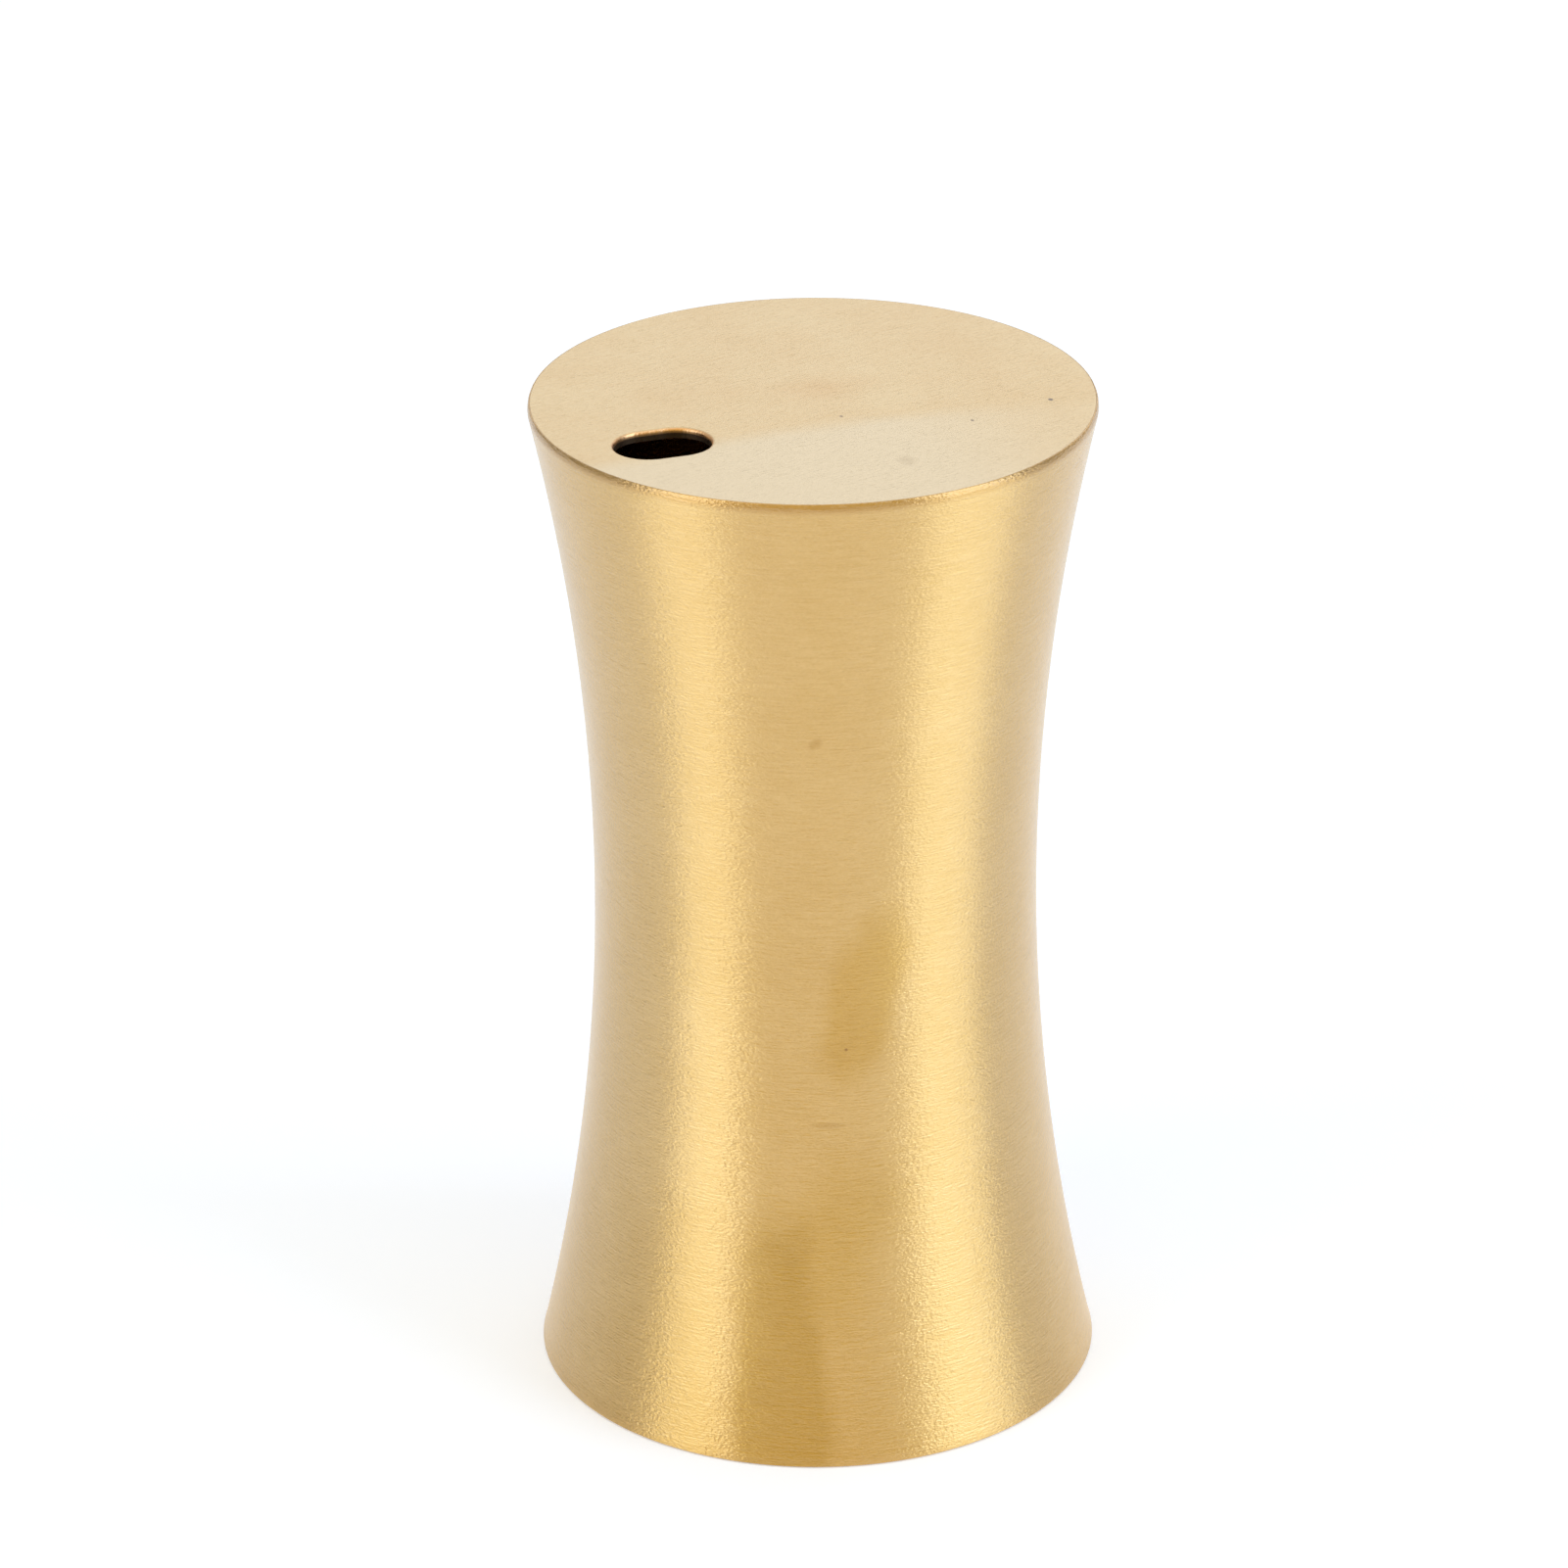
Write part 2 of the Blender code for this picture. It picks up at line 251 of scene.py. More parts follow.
def turned(outline, radius_change=None):
    """Grid of a turned surface: outline point i at bearing j lies at (r cos b, r sin b, z).
    radius_change(bearing, height, radius) gives what is added to the radius."""
    outline = np.asarray(outline, float)
    bearing = np.linspace(0, 2 * np.pi, AROUND, endpoint=False)[None, :]
    radius = np.repeat(outline[:, :1], AROUND, 1)
    height = np.repeat(outline[:, 1:], AROUND, 1)
    if radius_change:
        radius = radius + radius_change(bearing, height, radius)
    return np.stack([radius * np.cos(bearing), radius * np.sin(bearing), height], 2)


def piece(name, grid, closed=True, sharp=30):
    """Makes a mesh of a grid of points: rows run along the outline, and each row closes on itself. A closed
    outline joins its last row to its first. Points that fall together, as on the axis, are merged."""
    rows, steps = grid.shape[:2]
    index = np.arange(rows * steps).reshape(rows, steps)
    if closed:
        index = np.concatenate([index, index[:1]])
    here, beside = index[:-1], np.roll(index, -1, 1)[:-1]
    above, across = index[1:], np.roll(index, -1, 1)[1:]
    faces = np.stack([here, beside, across, above], 2).reshape(-1, 4)
    mesh = bpy.data.meshes.new(name)
    mesh.from_pydata(grid.reshape(-1, 3), [], faces.tolist())
    thing = bpy.data.objects.new(name, mesh)
    bpy.context.scene.collection.objects.link(thing)
    shape = bmesh.new()
    shape.from_mesh(mesh)
    bmesh.ops.remove_doubles(shape, verts=shape.verts, dist=MERGED)
    bmesh.ops.recalc_face_normals(shape, faces=shape.faces)
    shape.to_mesh(mesh)
    shape.free()
    mesh.shade_smooth()
    mesh.set_sharp_from_angle(angle=math.radians(sharp))
    return thing


lean = math.degrees(math.atan(2 * bend * (rim_corner.z - waist_height)))
foot_lean = math.degrees(math.atan(2 * bend * (STEEL_EDGE - waist_height)))
reach = (RIM_ROLL - RIM_CORNER) * np.array([math.cos(math.radians(RIM_ROLL_END)),
                                            math.sin(math.radians(RIM_ROLL_END))])
roll_z = rim_corner.z - RIM_CORNER - reach[1]
roll_start = roll_z - RIM_ROLL * math.sin(math.radians(lean))
roll_centre = np.array([shell_radius(roll_start) - RIM_ROLL * math.cos(math.radians(lean)), roll_z])
rim_centre = roll_centre + reach
seat_z = rim_corner.z - PLATE_THICKNESS - SEAM
outer_heights = np.linspace(STEEL_EDGE + EDGE_BREAK, roll_start, 120)[:-1]
inner_heights = np.linspace(seat_z, STEEL_EDGE + EDGE_BREAK, 48)
outer_side = np.stack([shell_radius(outer_heights), outer_heights], 1)
inner_side = np.stack([shell_radius(inner_heights) - SHEET, inner_heights], 1)
foot_outer = (shell_radius(STEEL_EDGE) - EDGE_BREAK, STEEL_EDGE + EDGE_BREAK)
foot_inner = (shell_radius(STEEL_EDGE) - SHEET + EDGE_BREAK, STEEL_EDGE + EDGE_BREAK)
shell_outline = np.concatenate([
    quarter(foot_outer, EDGE_BREAK, -90, -foot_lean, 3), outer_side[1:],
    quarter(roll_centre, RIM_ROLL, -lean, RIM_ROLL_END, 8)[:-1],
    quarter(rim_centre, RIM_CORNER, RIM_ROLL_END, 90, 6),
    [(rim_centre[0], seat_z)], inner_side,
    quarter(foot_inner, EDGE_BREAK, 180, 270, 3)])
shell = piece("waist_shell_sheet", turned(shell_outline))

BODY_GOLD = "#F7CE82"
BODY_GOLD_DEEP = "#ECC06C"
# Painted shade: a slightly darker, warmer tint over the lowest part of the body, towards the foot.
FOOT_PAINTED_SHADE = "#FDFCF4"
FOOT_PAINTED_SHADE_REACH = 28 * MM
# Painted shade: a darker band on the body just under the rim.
RIM_PAINTED_SHADE = "#E9DEC9"
RIM_PAINTED_SHADE_REACH = (1.0 * MM, 0.3 * MM)
STROKE_LENGTH, STROKE_WIDTH = 1.9 * MM, 0.17 * MM
GRAIN_LENGTH, GRAIN_WIDTH = 0.28 * MM, 0.14 * MM
BRUSH_DEPTH = 0.047 * MM
CLOUD_SIZE = 9 * MM
BODY_MARKS = {
    "stain": {"place": (-1.9, -17.0, 38.4), "reach": (3.2, 6.0, 8.0),
              "lean": 15, "edge": (1.0, 1.6), "tint": "#F4ECBB"},
    # The three low patches below are painted shade: soft darkening of the lower body towards the foot.
    "low_left_shade": {"place": (-9.6, -18.0, 4.0), "reach": (3.7, 9.0, 20.0),
                 "lean": 0, "edge": (1.1, 1.6), "tint": "#EEE8BC"},
    "low_side_shade": {"place": (-17.0, -12.0, 4.0), "reach": (6.0, 9.0, 20.0),
                 "lean": 0, "edge": (0.8, 1.7), "tint": "#F7F3E2"},
    "low_middle_shade": {"place": (-5.2, -17.7, 17.0), "reach": (5.0, 9.0, 8.5),
                   "lean": 25, "edge": (0.6, 1.7), "tint": "#F8F4D4"},
    "rub": {"place": (-4.9, -17.0, 27.55), "reach": (1.4, 3.0, 0.3),
            "lean": 0, "edge": (0.8, 1.6), "tint": "#F0EAD8"},
    "nick": {"place": (-5.9, -17.1, 59.6), "reach": (0.7, 3.0, 0.45),
             "lean": -40, "edge": (0.8, 1.6), "tint": "#F0E8D0"},
    "pit": {"place": (-3.46, -16.95, 33.75), "reach": (0.14, 2.0, 0.14),
            "lean": 0, "edge": (0.8, 1.5), "tint": "#CDBB96"}}


def brushed_height(tree, place, along, across, grain_along, grain_across):
    """Height and stroke value of a brushed surface: long thin strokes plus short grains, as two stretched
    noises. along and across are the strokes' sizes in X, Y and Z, and the place is divided by them."""
    layers = []
    for size in ((*along, across), (*grain_along, grain_across)):
        spread = add(tree, "ShaderNodeVectorMath", {"operation": "DIVIDE"}, in0=place, in1=size)
        layers.append(add(tree, "ShaderNodeTexNoise", Vector=spread.outputs[0], Scale=1.0, Detail=1.5,
                          Roughness=0.5).outputs["Fac"])
    return add(tree, "ShaderNodeMath", {"operation": "ADD"}, in0=layers[0], in1=layers[1]).outputs[0]


def marked(tree, tone, place, clouds, mark):
    """Multiplies a tone by a mark's tint. The mark is an ellipsoid about its place, and the distance from
    there, in reaches, plus 0.9 times the clouds is what its soft edge runs over."""
    local = add(tree, "ShaderNodeMapping", {"vector_type": "TEXTURE"}, Vector=place,
                Location=np.multiply(mark["place"], MM), Rotation=(0, math.radians(mark["lean"]), 0),
                Scale=np.multiply(mark["reach"], MM))
    away = add(tree, "ShaderNodeVectorMath", {"operation": "LENGTH"}, in0=local.outputs[0])
    away = add(tree, "ShaderNodeMath", {"operation": "MULTIPLY_ADD"}, in0=clouds.outputs["Fac"], in1=0.9,
               in2=away.outputs["Value"])
    inside = add(tree, "ShaderNodeMapRange", {"interpolation_type": "SMOOTHSTEP"}, Value=away.outputs[0],
                 From_Min=mark["edge"][1], From_Max=mark["edge"][0])
    return add(tree, "ShaderNodeMix", {"data_type": "RGBA", "blend_type": "MULTIPLY"}, in0=inside.outputs[0],
               in6=tone.outputs[2], in7=linear(mark["tint"]))


# Stainless steel with a gold coat under clear lacquer, brushed round the body, so that a highlight spreads
# into an upright band with grainy edges. Strokes and grain are drawn coarser than they are, so that they
# show. A patch of darker coat stands at the waist. Painted shade darkens the lower body in soft patches,
# tints it darker and warmer towards the foot, and darkens a thin band just under the rim.
round_brushed = bpy.data.materials.new("gold_steel_brushed_round")
tree = blank_tree(round_brushed)
place = add(tree, "ShaderNodeTexCoord").outputs["Object"]
height = brushed_height(tree, place, (STROKE_LENGTH, STROKE_LENGTH), STROKE_WIDTH,
                        (GRAIN_LENGTH, GRAIN_LENGTH), GRAIN_WIDTH)
relief = add(tree, "ShaderNodeBump", Strength=1.0, Distance=BRUSH_DEPTH, Height=height)
clouds = add(tree, "ShaderNodeTexNoise", Vector=place, Scale=1 / CLOUD_SIZE, Detail=3.0, Roughness=0.55)
mixed = add(tree, "ShaderNodeMath", {"operation": "MULTIPLY_ADD"}, in0=clouds.outputs["Fac"], in1=0.9,
            in2=height)
share = add(tree, "ShaderNodeMapRange", Value=mixed.outputs[0], From_Min=1.05, From_Max=1.85)
tone = add(tree, "ShaderNodeMix", {"data_type": "RGBA"}, in0=share.outputs[0], in6=linear(BODY_GOLD_DEEP),
           in7=linear(BODY_GOLD))
for mark in BODY_MARKS.values():
    tone = marked(tree, tone, place, clouds, mark)
rise = add(tree, "ShaderNodeSeparateXYZ", Vector=place).outputs["Z"]
# Painted shade: a thin band just under the rim is darkened.
high = add(tree, "ShaderNodeMapRange", {"interpolation_type": "SMOOTHSTEP"}, Value=rise,
           From_Min=rim_corner.z - RIM_PAINTED_SHADE_REACH[0], From_Max=rim_corner.z - RIM_PAINTED_SHADE_REACH[1])
tone = add(tree, "ShaderNodeMix", {"data_type": "RGBA", "blend_type": "MULTIPLY"}, in0=high.outputs[0],
           in6=tone.outputs[2], in7=linear(RIM_PAINTED_SHADE))
# Painted shade: the tone grows a little darker and warmer towards the foot.
low = add(tree, "ShaderNodeMapRange", {"interpolation_type": "SMOOTHSTEP"}, Value=rise,
          From_Min=FOOT_PAINTED_SHADE_REACH, From_Max=0.0)
tone = add(tree, "ShaderNodeMix", {"data_type": "RGBA", "blend_type": "MULTIPLY"}, in0=low.outputs[0],
           in6=tone.outputs[2], in7=linear(FOOT_PAINTED_SHADE))
tangent = add(tree, "ShaderNodeTangent", {"direction_type": "RADIAL", "axis": "Z"})
steel = add(tree, "ShaderNodeBsdfPrincipled", Base_Color=tone.outputs[2], Metallic=1.0, Roughness=0.37,
            Anisotropic=1.0, Anisotropic_Rotation=0.25, Tangent=tangent.outputs[0], Normal=relief.outputs[0],
            Coat_Weight=1.0, Coat_Roughness=0.25, Coat_IOR=1.7, Coat_Normal=relief.outputs[0])
add(tree, "ShaderNodeOutputMaterial", Surface=steel.outputs[0])
shell.data.materials.append(round_brushed)
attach(shell, "root")
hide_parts("waist_shell")

# Top plate: a disc of the same sheet, let into the rim, welded, ground flush and brushed straight across.
# Its pill-shaped slot is punched: the lip is rolled smooth and carries a painted highlight, and the wall
# below is left rough and dull, with painted shade darkening it.
SLOT_LENGTH = 7.4 * MM
SLOT_WIDTH = 5.4 * MM
SLOT_LIP = 0.28 * MM
SLOT_INSET = 7.2 * MM
SLOT_BEARING = math.radians(-159.6)
slot_centre = (TOP_RADIUS - SLOT_INSET) * np.array([math.cos(SLOT_BEARING), math.sin(SLOT_BEARING)])


def pill(grow):
    """Closed outline of the slot, wider by grow on each side: a half circle about each end, in even steps."""
    half_run = (SLOT_LENGTH - SLOT_WIDTH) / 2
    radius = SLOT_WIDTH / 2 + grow
    length = 4 * half_run + 2 * np.pi * radius
    along = np.linspace(0, length, AROUND, endpoint=False)
    bend_length = np.pi * radius
    side = np.where(along < length / 2, 1.0, -1.0)
    run = np.where(along < length / 2, along, along - length / 2)
    turn = np.minimum(run, bend_length) / radius - np.pi / 2
    straight = np.maximum(run - bend_length, 0)
    x = side * (half_run + radius * np.cos(turn) - straight)
    y = side * radius * np.sin(turn)
    return slot_centre + np.stack([x, y], 1)


def rim_circle(radius):
    """The plate's edge, met by the lines that run from the slot's middle through the points of its outline."""
    way = pill(0) - slot_centre
    way = way / np.linalg.norm(way, axis=1)[:, None]
    along = way @ slot_centre
    reach = -along + np.sqrt(along ** 2 + radius ** 2 - slot_centre @ slot_centre)
    return slot_centre + way * reach[:, None]


def at_height(points, z):
    return np.concatenate([points, np.full((len(points), 1), z)], 1)


plate_radius = rim_centre[0] - SEAM
plate_bottom = rim_corner.z - PLATE_THICKNESS
lip_turns = np.linspace(0, np.pi / 2, 9)
rows = [at_height(pill(0), z) for z in np.linspace(plate_bottom, rim_corner.z - SLOT_LIP, 5)[:-1]]
rows += [at_height(pill(SLOT_LIP * (1 - np.cos(t))), rim_corner.z - SLOT_LIP * (1 - np.sin(t)))
         for t in lip_turns]
lip_edge, plate_edge = rows[-1][:, :2], rim_circle(plate_radius)
rows += [at_height(lip_edge + (plate_edge - lip_edge) * share, rim_corner.z)
         for share in np.linspace(0, 1, 24)[1:]]
rows += [at_height(plate_edge, plate_bottom)]
rows += [at_height(plate_edge + (pill(0) - plate_edge) * share, plate_bottom)
         for share in np.linspace(0, 1, 12)[1:-1]]
plate = piece("top_plate_disc", np.stack(rows))

PLATE_GOLD = "#E0C48E"
PLATE_GOLD_WARM = "#D9B679"
PLATE_PAINTED_REFLECTION = "#DFC89D"
PLATE_BRUSH_BEARING = math.radians(16)
PLATE_BRUSH_DEPTH = 0.028 * MM
PLATE_STROKE = 2.4 * MM
PLATE_GRAIN = (0.34 * MM, 0.16 * MM)
PLATE_THROUGH = 1.0 * MM
PLATE_ROUGHNESS = 0.38
PUNCHED_ROUGHNESS = 0.65
PALE_CREST = (-1 * MM, -6.0 * MM)
PALE_BEND = 0.006 / MM
PALE_BLUR = 1.6 * MM
PALE_WANDER = 3 * MM
PALE_END = (2 * MM, 18 * MM)
# Painted shade: the punched wall's colour darkens to a deep brown down into the slot.
PUNCHED_WALL_SHADE = "#4E3D2C"
PUNCHED_DEPTH = (0.22 * MM, 0.42 * MM)
# Painted highlight on the slot's rolled lip.
LIP_PAINTED_HIGHLIGHT = "#F6BF80"
LIP_DEPTH = (0.01 * MM, 0.06 * MM)
PLATE_MARKS = {
    "warm": {"place": (2.3, 1.6, 80), "reach": (6.5, 6.0, 60),
             "lean": 0, "edge": (0.4, 1.4), "tint": "#FAF1E2"},
    "smudge": {"place": (2.3, -14.4, 80), "reach": (0.9, 1.2, 60),
               "lean": 0, "edge": (0.6, 1.6), "tint": "#EFECE6"},
    "pit_right": {"place": (16.6, -6.5, 80), "reach": (0.2, 0.24, 60),
                  "lean": 0, "edge": (0.9, 1.6), "tint": "#6A5A48"},
    "pit_middle": {"place": (9.6, -8.5, 80), "reach": (0.16, 0.2, 60),
                   "lean": 0, "edge": (0.9, 1.6), "tint": "#84745E"},
    "pit_left": {"place": (0.7, -4.4, 80), "reach": (0.15, 0.18, 60),
                 "lean": 0, "edge": (0.9, 1.6), "tint": "#988870"}}

# The same coated steel, brushed straight across at a slant to the slot, with strokes drawn as coarse as
# they need to show. The near part is paler, up to a soft curved edge beside the slot, as a painted
# reflection, and the middle a little warmer.
straight_brushed = bpy.data.materials.new("gold_steel_brushed_straight")
tree = blank_tree(straight_brushed)
place = add(tree, "ShaderNodeTexCoord").outputs["Object"]
laid = add(tree, "ShaderNodeMapping", Vector=place, Rotation=(0, 0, -PLATE_BRUSH_BEARING)).outputs[0]
height = brushed_height(tree, laid, (PLATE_STROKE, STROKE_WIDTH), PLATE_THROUGH, PLATE_GRAIN, PLATE_THROUGH)
relief = add(tree, "ShaderNodeBump", Strength=1.0, Distance=PLATE_BRUSH_DEPTH, Height=height)
clouds = add(tree, "ShaderNodeTexNoise", Vector=place, Scale=1 / CLOUD_SIZE, Detail=3.0, Roughness=0.55)
mixed = add(tree, "ShaderNodeMath", {"operation": "MULTIPLY_ADD"}, in0=clouds.outputs["Fac"], in1=1.2,
            in2=height)
share = add(tree, "ShaderNodeMapRange", Value=mixed.outputs[0], From_Min=1.2, From_Max=2.0)
tone = add(tree, "ShaderNodeMix", {"data_type": "RGBA"}, in0=share.outputs[0], in6=linear(PLATE_GOLD_WARM),
           in7=linear(PLATE_GOLD))
parts = add(tree, "ShaderNodeSeparateXYZ", Vector=place).outputs
off = add(tree, "ShaderNodeMath", {"operation": "SUBTRACT"}, in0=parts["X"], in1=PALE_CREST[0]).outputs[0]
off = add(tree, "ShaderNodeMath", {"operation": "MULTIPLY"}, in0=off, in1=off)
row = add(tree, "ShaderNodeMath", {"operation": "MULTIPLY_ADD"}, in0=off.outputs[0], in1=PALE_BEND,
          in2=parts["Y"])
row = add(tree, "ShaderNodeMath", {"operation": "MULTIPLY_ADD"}, in0=clouds.outputs["Fac"], in1=PALE_WANDER,
          in2=row.outputs[0])
# Painted reflection: the near part of the plate is paler, up to a soft curved edge.
pale = add(tree, "ShaderNodeMapRange", {"interpolation_type": "SMOOTHSTEP"}, Value=row.outputs[0],
           From_Min=PALE_CREST[1] + PALE_WANDER / 2 + PALE_BLUR,
           From_Max=PALE_CREST[1] + PALE_WANDER / 2 - PALE_BLUR)
ending = add(tree, "ShaderNodeMapRange", {"interpolation_type": "SMOOTHSTEP"}, Value=parts["X"],
             From_Min=PALE_END[1], From_Max=PALE_END[0], To_Min=0.2)
pale = add(tree, "ShaderNodeMath", {"operation": "MULTIPLY"}, in0=pale.outputs[0], in1=ending.outputs[0])
tone = add(tree, "ShaderNodeMix", {"data_type": "RGBA"}, in0=pale.outputs[0], in6=tone.outputs[2],
           in7=linear(PLATE_PAINTED_REFLECTION))
for mark in PLATE_MARKS.values():
    tone = marked(tree, tone, place, clouds, mark)
# Painted highlight: from just below the plate's top, the rolled lip is coloured a bright orange gold.
lip = add(tree, "ShaderNodeMapRange", Value=parts["Z"], From_Min=rim_corner.z - LIP_DEPTH[0],
          From_Max=rim_corner.z - LIP_DEPTH[1])
tone = add(tree, "ShaderNodeMix", {"data_type": "RGBA"}, in0=lip.outputs[0], in6=tone.outputs[2],
           in7=linear(LIP_PAINTED_HIGHLIGHT))
# The punched wall is rougher, which is its real finish, and its colour darkens with depth, which is painted
# shade.
punched = add(tree, "ShaderNodeMapRange", Value=parts["Z"], From_Min=rim_corner.z - PUNCHED_DEPTH[0],
              From_Max=rim_corner.z - PUNCHED_DEPTH[1])
tone = add(tree, "ShaderNodeMix", {"data_type": "RGBA"}, in0=punched.outputs[0], in6=tone.outputs[2],
           in7=linear(PUNCHED_WALL_SHADE))
gloss = add(tree, "ShaderNodeMath", {"operation": "MULTIPLY_ADD"}, in0=punched.outputs[0],
            in1=PUNCHED_ROUGHNESS - PLATE_ROUGHNESS, in2=PLATE_ROUGHNESS)
strokes = (math.cos(PLATE_BRUSH_BEARING), math.sin(PLATE_BRUSH_BEARING), 0)
tangent = add(tree, "ShaderNodeCombineXYZ", X=strokes[0], Y=strokes[1], Z=strokes[2])
steel = add(tree, "ShaderNodeBsdfPrincipled", Base_Color=tone.outputs[2], Metallic=1.0,
            Roughness=gloss.outputs[0],
            Anisotropic=0.8, Anisotropic_Rotation=0.25, Tangent=tangent.outputs[0], Normal=relief.outputs[0],
            Coat_Weight=1.0, Coat_Roughness=0.3, Coat_IOR=1.5, Coat_Normal=relief.outputs[0])
add(tree, "ShaderNodeOutputMaterial", Surface=steel.outputs[0])
plate.data.materials.append(straight_brushed)
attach(plate, "root")
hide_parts("top_plate")

# Base ring: one black ABS moulding, pressed and glued into the foot. From outside in it has a groove for
# the soft foot ring, a land, a counterbore with a shoulder for the gasket, and the inside thread that the
# cap screws into.
GAP = 0.3 * MM
FOOT_RING_WIDTH = 2.0 * MM
FOOT_RING_HEIGHT = 2.0 * MM
BASE_RECESS = 0.8 * MM
LAND_WIDTH = 1.3 * MM
SHOULDER_WIDTH = 1.0 * MM
SHOULDER = 4.0 * MM
RING_TOP = 9.0 * MM
THREAD_PITCH = 2.5 * MM
THREAD_DEPTH = 1.0 * MM
THREAD_FADE = 0.8 * MM
THREAD_ROWS = 61
ON_WALL = 0.0001 * MM
foot_ring_outer = shell_radius(FOOT_RING_HEIGHT) - SHEET - GAP
land_outer = foot_ring_outer - FOOT_RING_WIDTH - GAP
counterbore = land_outer - LAND_WIDTH
nut_root = counterbore - SHOULDER_WIDTH


def rounded(corners, radii, steps=4):
    """Outline with its corners rounded. At each corner the arc's centre lies on the line that halves the
    angle, radius / sin(half the angle) away, and the arc starts and ends radius / tan(half the angle)
    from the corner."""
    corners = np.asarray(corners, float)
    parts = []
    for i, radius in enumerate(radii):
        corner = corners[i]
        if radius == 0:
            parts.append(corner[None])
            continue
        to_last, to_next = corners[i - 1] - corner, corners[(i + 1) % len(corners)] - corner
        to_last, to_next = to_last / np.linalg.norm(to_last), to_next / np.linalg.norm(to_next)
        half = math.acos(np.clip(to_last @ to_next, -1, 1)) / 2
        inward = (to_last + to_next) / np.linalg.norm(to_last + to_next)
        centre = corner + inward * radius / math.sin(half)
        swing = np.linspace(half - math.pi / 2, math.pi / 2 - half, steps + 1)[:, None]
        across = to_next - inward * (to_next @ inward)
        across = across / np.linalg.norm(across)
        parts.append(centre - radius * (inward * np.cos(swing) - across * np.sin(swing)))
    return np.concatenate(parts)


def thread_share(bearing, height):
    """1 on the crest of the cap's right-hand thread and 0 in its root: a cosine that climbs a pitch a turn."""
    return 0.5 + 0.5 * np.cos(2 * np.pi * (height / THREAD_PITCH - bearing / (2 * np.pi)))


def grown(height, low, high):
    """0 at both ends of a thread, rising evenly to 1 over the fade."""
    return np.clip(np.minimum(height - low, high - height), 0, THREAD_FADE) / THREAD_FADE


def nut_thread(bearing, height, radius):
    """Moves the nut's wall in to its crests: minus the depth where the cap's thread has its root."""
    on_wall = np.abs(radius - nut_root) < ON_WALL
    return -THREAD_DEPTH * (1 - thread_share(bearing, height)) * grown(height, SHOULDER, RING_TOP) * on_wall


outer_low = shell_radius(FOOT_RING_HEIGHT + GAP) - SHEET - GAP
ring_side = np.linspace(FOOT_RING_HEIGHT + GAP, RING_TOP, 14)[1:-1]
thread_heights = np.linspace(RING_TOP, SHOULDER, THREAD_ROWS)
ring_foot = rounded([(counterbore, SHOULDER), (counterbore, BASE_RECESS), (land_outer, BASE_RECESS),
                     (land_outer, FOOT_RING_HEIGHT + GAP), (outer_low, FOOT_RING_HEIGHT + GAP)],
                    [0, 0.3 * MM, 0.3 * MM, 0.15 * MM, 0])
ring_outline = np.concatenate([
    ring_foot, np.stack([shell_radius(ring_side) - SHEET - GAP, ring_side], 1),
    [(shell_radius(RING_TOP) - SHEET - GAP, RING_TOP)],
    np.stack([np.full(THREAD_ROWS, nut_root), thread_heights], 1)])
ring = piece("base_ring_moulding", turned(ring_outline, nut_thread))

BLACK_ABS = "#1D1D1E"
BLACK_ABS_WORN = "#29292A"
SPARK_GRAIN = 0.22 * MM
SPARK_DEPTH = 0.012 * MM


def moulded_plastic(name, colour, worn_colour, roughness, grain):
    """Black ABS from a spark-eroded mould: an even, fine pebbled grain with a low sheen, and slightly paler
    where it is handled. The grain is drawn twice as coarse as it is, so that it shows."""
    material = bpy.data.materials.new(name)
    tree = blank_tree(material)
    place = add(tree, "ShaderNodeTexCoord").outputs["Object"]
    pebbles = add(tree, "ShaderNodeTexVoronoi", {"feature": "SMOOTH_F1"}, Vector=place, Scale=1 / grain,
                  Smoothness=0.6)
    relief = add(tree, "ShaderNodeBump", Strength=1.0, Distance=SPARK_DEPTH,
                 Height=pebbles.outputs["Distance"])
    wear = add(tree, "ShaderNodeTexNoise", Vector=place, Scale=1 / (4 * MM), Detail=4.0, Roughness=0.6)
    share = add(tree, "ShaderNodeMapRange", Value=wear.outputs["Fac"], From_Min=0.45, From_Max=0.75)
    tone = add(tree, "ShaderNodeMix", {"data_type": "RGBA"}, in0=share.outputs[0], in6=linear(colour),
               in7=linear(worn_colour))
    gloss = add(tree, "ShaderNodeMapRange", Value=wear.outputs["Fac"], From_Min=0.3, From_Max=0.7,
                To_Min=roughness + 0.05, To_Max=roughness - 0.05)
    plastic = add(tree, "ShaderNodeBsdfPrincipled", Base_Color=tone.outputs[2], Roughness=gloss.outputs[0],
                  IOR=1.54, Normal=relief.outputs[0])
    add(tree, "ShaderNodeOutputMaterial", Surface=plastic.outputs[0])
    return material


ring.data.materials.append(moulded_plastic("black_abs_ring", BLACK_ABS, BLACK_ABS_WORN, 0.5, SPARK_GRAIN))
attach(ring, "root")
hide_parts("base_ring")

# Foot ring: a soft grey silicone ring, compression moulded and glued into the groove of the foot. The
# holder stands on its flat lower face, which keeps the steel edge just off the table.
foot_ring_inner = foot_ring_outer - FOOT_RING_WIDTH
foot_outline = rounded([(foot_ring_inner, 0), (foot_ring_outer, 0), (foot_ring_outer, FOOT_RING_HEIGHT),
                        (foot_ring_inner, FOOT_RING_HEIGHT)], [0.35 * MM, 0.35 * MM, 0.1 * MM, 0.1 * MM])
foot = piece("foot_ring_silicone", turned(foot_outline))

